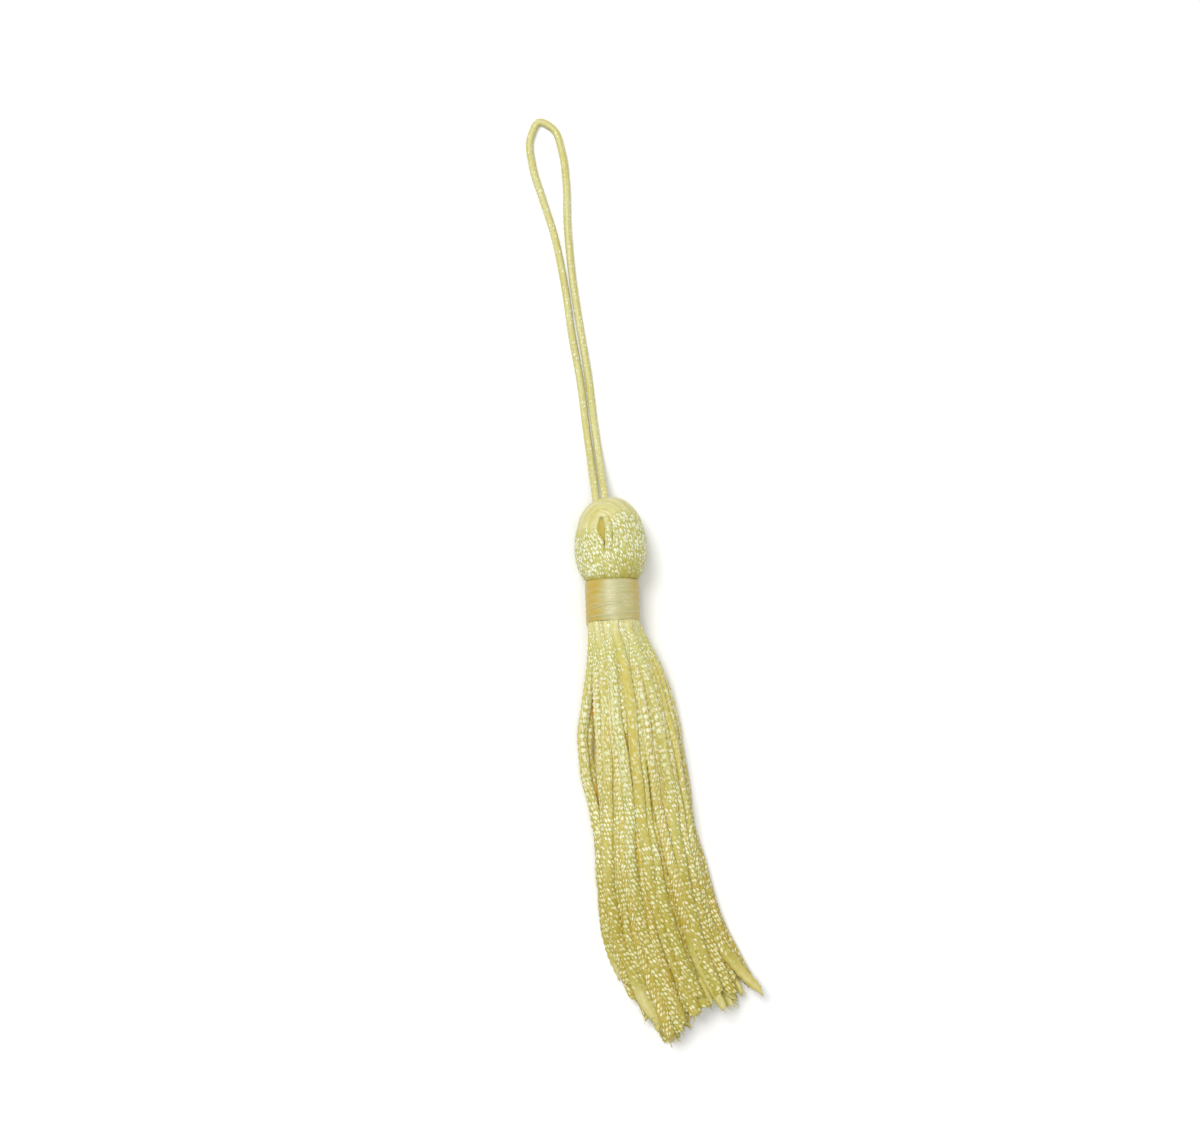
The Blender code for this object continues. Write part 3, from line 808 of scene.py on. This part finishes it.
def add_head_cord(cloth, plan, number, dice):
    """One folded cord of the head. They are numbered from the eye to the middle of the back."""
    half = 0.5 * math.pi / CORDS_PER_SIDE
    angle = (2 * number + 1) * half
    surface, before, after = (head_surface(plan, at) for at in (angle, angle - half, angle + half))
    spacing = np.linalg.norm(after - before, axis=1)
    across = unit(after - before)
    along = unit(np.gradient(surface, axis=0))
    out = unit(np.cross(across, along))
    middle = np.array([0.0, BINDING_LENGTH + HEAD_MIDDLE, AXIS_HEIGHT]) + ORIGIN
    out = out * np.sign(np.sum(out * (surface - middle), axis=1))[:, None]
    half_thick = np.minimum(0.62 * MM, 0.52 * spacing)
    path = surface - out * (half_thick - 0.12 * MM)[:, None]
    travelled = distance_along(path)
    knit_u = travelled / HEAD_STITCH + dice.uniform(0, 10)
    right, height = path[:, 0] - ORIGIN[0], path[:, 1] - ORIGIN[1] - BINDING_LENGTH
    slant = CROWN_SLANT * np.tanh(right / (2.5 * MM))
    crown = ramp(height - slant, *CROWN) * ramp(path[:, 2], *CROWN_FRONT)
    # Painted shade just above the binding and on the lower right: fewer painted glints, more golden and darker
    low = ramp(height, 0.2, 1.6)
    painted_shade_lower_right = hump(right, 3.0, 2.4) * hump(height, 2.0, 2.6)
    shine = dice.uniform(1.0, 1.2) * low * (1.0 - crown) * (1.0 - 0.6 * painted_shade_lower_right)
    if number == 0:
        half_width = (0.72 - 0.22 * ramp(np.abs(plan[:, 0]), 0.0, 0.4)) * spacing
    else:
        pressed = np.maximum(crown, ramp(height, 3.0, 0.0))
        groove = hump(height, 8.5, 3.5) * (right > 0.0) * (number == 1)
        half_width = (0.66 + 0.16 * pressed - 0.26 * groove) * spacing
    roll = dice.uniform(0, math.pi) + 0.3 * np.sin(travelled / (9 * MM))
    rings, side = stitched_rings(path, across, out, half_width, half_thick, knit_u, HEAD_WALES, roll, 0.1, 3.0)
    on_surface(rings)
    tone = (dice.uniform(-0.2, 0.25) + 0.5 * (1.0 - low)) * (1.0 - crown) - 0.9 * crown
    rich = np.clip(0.05 + 0.6 * painted_shade_lower_right + 0.4 * (1.0 - low), 0.0, 0.8) * (1.0 - crown)
    knit_turn = HEAD_WALES * dice.choice([-1, 1])
    # painted shade on the flanks of each cord
    cloth.tube(rings, knit_u, knit_turn, tone, shine, 0.35 * side**6, rich=rich)


def add_core(cloth, plan):
    """The cords inside the head, which show as a smooth warm floor in the grooves, painted with shade and a
    warm glow.
    """
    count = len(plan)
    along = np.minimum(plan[:, 1], BINDING_LENGTH + 11 * MM)
    middle = np.column_stack([np.zeros(count), along, np.full(count, AXIS_HEIGHT)]) + ORIGIN
    outer = []
    for angle in np.linspace(0.0, math.pi, CORE_STEPS + 1):
        surface = head_surface(plan, angle)
        outer.append(surface + CORE_SINK * unit(middle - surface))
    outer = np.stack(outer, axis=1)
    share = np.linspace(1.0, 0.0, CORE_STEPS + 1)[None, 1:-1, None]
    inner = outer[:, :1] + (outer[:, -1:] - outer[:, :1]) * share
    cloth.tube(np.concatenate([outer, inner], axis=1), np.full(count, 0.5), 0.5, 0.5, 0.0, 0.75)


def add_eye_floor(cloth):
    """The cord that shows inside the eye, darkened with painted shade."""
    height = np.linspace(4.0, 12.9, 30) * MM
    table = columns(HEAD_COLUMNS, HEAD_SECTIONS)
    sunk = np.interp(height, (6.0 * MM, 10.5 * MM), (1.7 * MM, 0.8 * MM))
    level = np.interp(height, table["height"], table["half_thickness"]) - sunk
    turn = circle(12)
    x, z = rolled(1.1 * MM * np.cos(turn)[None] - 0.2 * MM, level[:, None] + 0.45 * MM * np.sin(turn)[None])
    y = np.broadcast_to(BINDING_LENGTH + height[:, None], z.shape)
    rings = np.stack([x, y, z], axis=-1) + ORIGIN
    cloth.tube(rings, height / HEAD_STITCH, 2.0, 0.6, 0.0, 0.0, rich=0.8)


# ---- binding


def binding_piece(look):
    """Floss wound close around the neck, with a few turns that cross the others."""
    cloth = Cloth()
    dice = np.random.default_rng(SEED + 4)
    edges = np.concatenate([[0.0], np.cumsum(dice.uniform(0.7, 1.3, BINDING_WRAPS))])
    edges = edges / edges[-1] * BINDING_LENGTH
    lift = dice.uniform(0.3, 1.0, BINDING_WRAPS)
    inset = 0.02 * MM
    profile = [(inset, BINDING_RADIUS - BINDING_INSIDE), (0.0, BINDING_RADIUS - BINDING_EDGE)]
    for k in range(BINDING_WRAPS):
        for share, rise in WRAP_PROFILE:
            y = edges[k] + share * (edges[k + 1] - edges[k])
            drawn_in = 0.06 * MM + 0.18 * MM * (2 * y / BINDING_LENGTH - 1.0) ** 8
            profile.append((y, BINDING_RADIUS - drawn_in + WRAP_RELIEF * rise * lift[k]))
    profile.append((BINDING_LENGTH, BINDING_RADIUS - BINDING_EDGE))
    profile.append((BINDING_LENGTH - inset, BINDING_RADIUS - BINDING_INSIDE))
    turn = circle(BINDING_SIDES)
    rings = []
    for y, radius in profile:
        share = y / BINDING_LENGTH
        slant = math.sin(math.pi * share) * (0.22 * np.sin(turn) + 0.05 * np.sin(3 * turn + 9 * share))
        uneven = 1 + 0.006 * np.sin(2 * turn + 1.0) + 0.004 * np.sin(5 * turn + 40 * share)
        ragged = np.exp(-(((turn - RAGGED_AT) / 0.35) ** 2)) * math.exp(-y / (0.5 * MM))
        reach = radius * uneven + 0.32 * MM * ragged
        low = y + (slant - 0.55 * ragged) * MM
        rings.append(np.column_stack([reach * np.cos(turn), low, AXIS_HEIGHT + reach * np.sin(turn)]) + ORIGIN)
    n = len(rings)
    # Painted shade, golden on the sides of the binding, carried as its tone
    golden = np.broadcast_to(painted_floss_side_shade(turn), (n, BINDING_SIDES))
    cloth.tube(np.array(rings), np.linspace(0, BINDING_LENGTH / MM, n), 33.0, golden, 0.0, 0.0, closed=False)
    for _ in range(LOOSE_TURNS):
        add_loose_turn(cloth, dice)
    cloth.piece("neck_floss", look, "neck_binding")


def painted_floss_side_shade(turn):
    """Painted shade around the neck: pale in front, golden on the sides where shade is painted, most on the
    left.
    """
    right = np.cos(turn)
    return 0.75 * np.clip((-right - 0.15) / 0.6, 0.0, 1.0) + 0.6 * np.clip((right - 0.4) / 0.5, 0.0, 1.0)


def add_loose_turn(cloth, dice):
    """A flat bundle of floss that crosses the other turns at a small slant."""
    middle = dice.uniform(0.15, 0.85) * BINDING_LENGTH
    climb = dice.uniform(-0.9, 0.9) * MM
    start = dice.uniform(0, 2 * math.pi)
    sweep = dice.uniform(0.5, 1.4) * math.pi
    half = dice.uniform(0.10, 0.22) * MM
    share = np.linspace(0.0, 1.0, LOOSE_TURN_POINTS)
    turn = start + sweep * share
    y = np.clip(middle + climb * (share - 0.5) * 2, 0.4 * MM, BINDING_LENGTH - 0.4 * MM)
    fade = np.sin(math.pi * share) ** 0.4
    radius = BINDING_RADIUS - 0.07 * MM + 0.02 * MM * fade
    out = np.column_stack([np.cos(turn), np.zeros(len(turn)), np.sin(turn)])
    path = out * radius[:, None] + np.column_stack([0.0 * y, y, np.full(len(y), AXIS_HEIGHT)]) + ORIGIN
    side = unit(np.cross(unit(np.gradient(path, axis=0)), out))
    spin = circle(8)
    wide = half * fade[:, None] * np.cos(spin)[None]
    tall = LOOSE_TURN_THICKNESS * fade[:, None] * np.sin(spin)[None]
    rings = path[:, None] + side[:, None] * wide[..., None] + out[:, None] * tall[..., None]
    # paler than the turns beneath, a painted highlight
    cloth.tube(rings, np.full(len(turn), middle / MM), 3.0, painted_floss_side_shade(turn) - 0.3, 0.0, 0.0)


# ---- loop


def loop_piece(look):
    """The knitted loop cord, from inside the crown out and back."""
    table = columns(LOOP_COLUMNS, LOOP_ROUTE)
    crown = BINDING_LENGTH + HEAD_SECTIONS[-1][0] * MM + CROWN_RISE
    places = np.column_stack([table["x"], crown + table["beyond_crown"], table["z"]])
    step = STITCH * 0.9 / RINGS_PER_STITCH
    path = even_route(places, step) + ORIGIN
    radius = 0.5 * CORD_DIAMETER
    path[:, 2] = np.maximum(path[:, 2], radius + FLOOR_CLEARANCE)
    along = unit(np.gradient(path, axis=0))
    across = unit(np.cross(along, [0.0, 0.0, 1.0]))
    out = unit(np.cross(across, along))
    knit_u = np.arange(len(path)) / RINGS_PER_STITCH
    travelled = distance_along(path)
    roll = 0.6 * np.sin(travelled / (11 * MM))
    size = np.full(len(path), radius)
    rings, _ = stitched_rings(path, across, out, size * 1.12, size * 0.92, knit_u, WALES, roll, 0.4)
    on_surface(rings)
    cloth = Cloth()
    # pale, with a few painted glints and a little painted shade
    cloth.tube(rings, knit_u, WALES, -0.6, 0.4, 0.0, 0.8, 0.05)
    made = cloth.piece("loop_cord", look, "hanging_loop")


# ---- materials


class Look:
    """A material, or the world around it, being put together node by node."""

    def __init__(self, owner, shader="Principled BSDF"):
        owner.use_nodes = True
        self.owner = owner
        self.tree = owner.node_tree
        self.shader = self.tree.nodes[shader]

    def node(self, kind, inputs=None, **settings):
        made = self.tree.nodes.new(kind)
        for name, value in settings.items():
            setattr(made, name, value)
        for name, value in (inputs or {}).items():
            self.feed(value, made.inputs[name])
        return made

    def feed(self, value, socket):
        if isinstance(value, bpy.types.NodeSocket):
            self.tree.links.new(value, socket)
        else:
            socket.default_value = value

    def math(self, operation, *values):
        inputs = dict(enumerate(values))
        return self.node("ShaderNodeMath", inputs, operation=operation).outputs[0]

    def plus(self, first, second):
        return self.math("ADD", first, second)

    def minus(self, first, second):
        return self.math("SUBTRACT", first, second)

    def times(self, first, second):
        return self.math("MULTIPLY", first, second)

    def most(self, first, second):
        return self.math("MAXIMUM", first, second)

    def smooth(self, value, low, high):
        """0 up to low, 1 from high, smooth between."""
        inputs = {"Value": value, "From Min": low, "From Max": high}
        return self.node("ShaderNodeMapRange", inputs, interpolation_type="SMOOTHSTEP").outputs["Result"]

    def mix(self, share, first, second, blend="MIX"):
        made = self.node("ShaderNodeMix", data_type="RGBA", blend_type=blend)
        self.feed(share, made.inputs[0])
        self.feed(first, made.inputs[6])
        self.feed(second, made.inputs[7])
        return made.outputs[2]

    def noise(self, place, scale, detail, roughness=0.5):
        inputs = {"Vector": place, "Scale": scale, "Detail": detail, "Roughness": roughness}
        return self.node("ShaderNodeTexNoise", inputs).outputs["Fac"]

    def attribute(self, name):
        return self.node("ShaderNodeAttribute", attribute_name=name).outputs["Fac"]

    def knit_place(self):
        """The place in the knit: as one vector, how many stitches along, and how many wales around."""
        knit = self.node("ShaderNodeUVMap", uv_map="knit").outputs["UV"]
        parts = self.node("ShaderNodeSeparateXYZ", {"Vector": knit})
        return knit, parts.outputs["X"], parts.outputs["Y"]

    def grain(self, place, along, across, detail, roughness=0.5):
        """Noise with so many grains to a stitch along the knit and to a wale across it."""
        inputs = {0: place, 1: (along, across, 1.0)}
        stretched = self.node("ShaderNodeVectorMath", inputs, operation="MULTIPLY").outputs[0]
        return self.noise(stretched, 1.0, detail, roughness)

    def bump(self, height, distance, strength, normal=None):
        made = self.node("ShaderNodeBump", {"Height": height, "Distance": distance, "Strength": strength})
        if normal is not None:
            self.feed(normal, made.inputs["Normal"])
        return made.outputs["Normal"]

    def finish(self, inputs):
        """The material or the world, with what goes into its shader."""
        for name, value in inputs.items():
            self.feed(value, self.shader.inputs[name])
        return self.owner


def knit_look(name, colours, small_stitches):
    """Knitted silk: stitches with painted glints over smooth filaments that run along the cord.

    colours has fused, fold, leaf, gold, the painted sheen, ring, side, the painted gap glow, and the painted
    shade and its share on the glints, which the rest is multiplied by. fold is painted shade in folds, ring
    painted shade around the stitches, side painted shade on the flanks and between the cords and also the gold
    of bare strands. small_stitches are the values for stitches() where the silk is fine.
    """
    look = Look(bpy.data.materials.new(name))
    knit, u, v = look.knit_place()
    tone, shine, depth, fine, rich = (look.attribute(title) for title in VALUES)
    ragged = look.times(look.minus(look.grain(knit, 5.0, 5.0, 1.0), 0.5), 0.16)
    large, large_ring_shade, _ = stitches(look, u, v, shine, ragged, *LARGE_STITCHES)
    small, small_ring_shade, chance = stitches(look, u, v, shine, ragged, *small_stitches)
    coarse = look.times(look.minus(1.0, fine), 0.85)
    share = look.plus(look.times(fine, 0.3), 0.7)
    painted_glint = look.most(look.times(large, coarse), look.times(small, share))
    ring = look.most(look.times(large_ring_shade, coarse), look.times(small_ring_shade, share))

    # The silk between the stitches: leaf green to gold, or pale where it is smooth, with darker streaks painted
    # as the shade of its folds
    cloudy = look.noise(look.node("ShaderNodeTexCoord").outputs["Object"], 160.0, 2.0)
    golden = look.plus(look.times(tone, 0.9), look.times(cloudy, 0.9))
    base = look.mix(look.smooth(golden, 0.6, 1.35), colours["leaf"], colours["gold"])
    fold_shade = look.grain(knit, 0.10, 1.5, 3.0, 0.6)
    fused = look.mix(look.smooth(fold_shade, 0.38, 0.62), colours["fold"], colours["fused"])
    pale = look.smooth(look.times(tone, -1.0), 0.0, 1.0)
    base = look.mix(pale, base, fused)

    # Painted sheen along the filaments, painted shade around each stitch, and a painted highlight line on each
    # side of a wale
    filaments = look.grain(knit, 0.7, 9.0, 3.0, 0.65)
    base = look.mix(look.times(look.smooth(filaments, 0.52, 0.68), 0.45), base, colours["painted_sheen"])
    base = look.mix(look.times(ring, 0.42), base, colours["ring"])
    wale = look.minus(v, look.math("ROUND", v))
    seam = look.math("ABSOLUTE", look.minus(look.math("ABSOLUTE", wale), 0.45))
    line = look.minus(1.0, look.smooth(seam, 0.04, 0.13))
    line = look.times(line, look.times(coarse, shine))
    line = look.times(line, look.smooth(filaments, 0.32, 0.55))
    base = look.mix(look.times(line, 0.75), base, colours["painted_sheen"])

    # Painted shade between the cords, on their flanks and with a warm painted glow far down, also the gold of
    # bare strands; then the painted shade towards the ends, and the painted glints of the stitches on top
    base = look.mix(look.smooth(depth, 0.0, 0.4), base, colours["side"])
    base = look.mix(look.smooth(depth, 0.3, 1.0), base, colours["painted_gap_glow"])
    base = look.mix(rich, base, colours["rich"], "MULTIPLY")
    # The colour of the painted glints, dimmed under the painted shade and in the gaps
    tint = look.mix(chance, GREENISH, PINKISH)
    tint = look.mix(rich, tint, colours["painted_shade_on_glints"], "MULTIPLY")
    painted_highlight = look.times(painted_glint, look.minus(1.0, look.times(depth, 0.6)))
    colour = look.mix(painted_highlight, base, tint)
    roughness = look.minus(0.5, look.times(look.most(painted_glint, pale), 0.2))
    normal = look.bump(filaments, 0.03 * MM, 0.5)
    normal = look.bump(painted_glint, 0.08 * MM, 0.8, normal)
    inputs = {"Base Color": colour, "Roughness": roughness, "Normal": normal, "Specular IOR Level": 0.35}
    return look.finish(inputs)


def stitches(look, u, v, shine, ragged, often, slope, jitter, radius):
    """Painted glints and the painted shade rings around them, on a lattice in the knit.

    often is how many there are to a stitch and to a wale. slope slants the spots. jitter is how far a spot may
    be out of line and radius its size, both in steps of the lattice. The third value is a share that differs
    from spot to spot.
    """
    along = look.times(u, often[0])
    across = look.plus(look.times(v, often[1]), look.times(u, slope))
    corner = {"X": look.plus(along, 0.5 * jitter), "Y": look.plus(across, 0.5 * jitter)}
    place = look.node("ShaderNodeCombineXYZ", corner).outputs[0]
    inputs = {"Vector": place, "Scale": 1.0, "Randomness": jitter}
    cells = look.node("ShaderNodeTexVoronoi", inputs, voronoi_dimensions="2D")
    chances = look.node("ShaderNodeSeparateColor", {"Color": cells.outputs["Color"]}).outputs
    reach = look.times(look.plus(look.times(chances[1], 0.5), 0.75), radius)
    share = look.math("DIVIDE", look.plus(cells.outputs["Distance"], ragged), reach)
    lit = look.smooth(look.plus(look.minus(chances[0], 1.0), shine), -0.1, 0.6)
    spot = look.times(look.minus(1.0, look.smooth(share, 0.5, 1.05)), lit)
    fading = look.minus(1.0, look.smooth(share, 1.3, 1.9))
    ring = look.times(look.times(look.smooth(share, 0.95, 1.2), fading), lit)
    return spot, ring, chances[2]


def floss_look(name, painted_highlight, pale, gold):
    """Untwisted silk floss: fine filaments that run around the neck, with a satin shine, painted highlights and
    painted shade on its sides.
    """
    look = Look(bpy.data.materials.new(name))
    knit, _, _ = look.knit_place()
    tone = look.attribute("tone")
    fine = look.grain(knit, 14.0, 0.35, 3.0, 0.65)
    broad = look.grain(knit, 1.4, 0.22, 2.0)
    mixed = look.plus(look.times(fine, 0.2), look.times(broad, 0.3))
    # golden in patches, and where the tone paints shade on the sides
    mixed = look.minus(mixed, look.times(tone, 0.3))
    colour = look.mix(look.smooth(mixed, -0.05, 0.28), gold, pale)
    # Painted highlights along the threads
    threads = look.grain(knit, 3.0, 0.3, 3.0, 0.6)
    threads = look.times(look.smooth(threads, 0.52, 0.66), 0.5)
    colour = look.mix(look.times(threads, look.smooth(mixed, 0.05, 0.26)), colour, painted_highlight)
    roughness = look.plus(look.times(broad, 0.2), 0.26)
    normal = look.bump(fine, 0.02 * MM, 0.6)
    inputs = {"Base Color": colour, "Roughness": roughness, "Normal": normal, "Specular IOR Level": 0.5}
    return look.finish(inputs)


# ---- stage


def make_stage():
    """A plain pale floor and soft studio light, with a studio around it that is brightest low down."""
    mesh = bpy.data.meshes.new("floor")
    reach = 6.0
    corners = [(-reach, -reach, 0), (reach, -reach, 0), (reach, reach, 0), (-reach, reach, 0)]
    mesh.from_pydata(corners, [], [(0, 1, 2, 3)])
    pale = Look(bpy.data.materials.new("floor_white"))
    inputs = {"Base Color": (0.92, 0.92, 0.92, 1.0), "Roughness": 0.9, "Specular IOR Level": 0.1}
    mesh.materials.append(pale.finish(inputs))
    placed("floor", mesh)
    studio = Look(bpy.data.worlds.new("studio"), "Background")
    direction = studio.node("ShaderNodeTexCoord").outputs["Generated"]
    height = studio.node("ShaderNodeSeparateXYZ", {"Vector": direction}).outputs["Z"]
    inputs = {"Value": height, "From Max": 0.4, "To Min": 0.9, "To Max": 0.28}
    fall = studio.node("ShaderNodeMapRange", inputs).outputs["Result"]
    bpy.context.scene.world = studio.finish({"Color": (1.0, 1.0, 1.0, 1.0), "Strength": fall})
    add_light("key", (-0.22, 0.26, 0.76), 24, 1.72)
    add_light("front", (0.05, -0.12, 0.90), 30, 1.05)


def add_light(name, place, softness, strength):
    """A broad even light from one side. softness is how wide it is, in degrees."""
    data = bpy.data.lights.new(name, "SUN")
    data.angle = math.radians(softness)
    data.energy = strength
    lamp = placed(name, data)
    lamp.location = place
    look_along(lamp, Vector((AXIS_X, 0.0, 0.0)) - lamp.location)


# ---- everything


# The silk's colours: fused, leaf and gold are its own and fold is painted shade in folds; the next is a painted
# highlight, ring painted shade around the stitches, side painted shade on the flanks and also the gold of bare
# strands, the next painted shade with a warm glow in the gaps, and the last two painted shade that darkens the
# rest and the glints
SILK = {
    "fused": (0.70, 0.67, 0.34, 1.0),
    "fold": (0.60, 0.53, 0.17, 1.0),
    "leaf": (0.55, 0.525, 0.14, 1.0),
    "gold": (0.60, 0.51, 0.12, 1.0),
    "painted_sheen": (0.90, 0.90, 0.52, 1.0),
    "ring": (0.34, 0.32, 0.05, 1.0),
    "side": (0.68, 0.56, 0.10, 1.0),
    "painted_gap_glow": (0.92, 0.53, 0.05, 1.0),
    "rich": (0.77, 0.685, 0.35, 1.0),
    "painted_shade_on_glints": (0.84, 0.785, 0.56, 1.0),
}
# Tints of the painted glints
GREENISH = (0.84, 0.97, 0.72, 1.0)
PINKISH = (1.0, 0.93, 0.76, 1.0)
# Floss colours: a painted highlight, the pale silk, and gold that is its own in patches and painted shade on
# the sides
FLOSS_PAINTED_HIGHLIGHT = (0.78, 0.76, 0.52, 1.0)
FLOSS_PALE = (0.53, 0.50, 0.245, 1.0)
FLOSS_GOLD_AND_PAINTED_SHADE = (0.53, 0.37, 0.035, 1.0)

# Values for stitches()
LARGE_STITCHES = ((1.0, 1.0), 0.0, 0.25, 0.34)
STRAND_STITCHES = ((1.5, 2.8), 0.75, 0.5, 0.44)
HEAD_STITCHES = ((1.35, 2.7), 0.7, 0.8, 0.46)

bpy.context.scene.view_settings.view_transform = "Standard"
make_camera()
silk = knit_look("silk_knit", SILK, STRAND_STITCHES)
loop_piece(silk)
head_piece(knit_look("silk_knit_head", SILK, HEAD_STITCHES))
binding_piece(floss_look("silk_floss", FLOSS_PAINTED_HIGHLIGHT, FLOSS_PALE, FLOSS_GOLD_AND_PAINTED_SHADE))
skirt_pieces(silk)
make_stage()
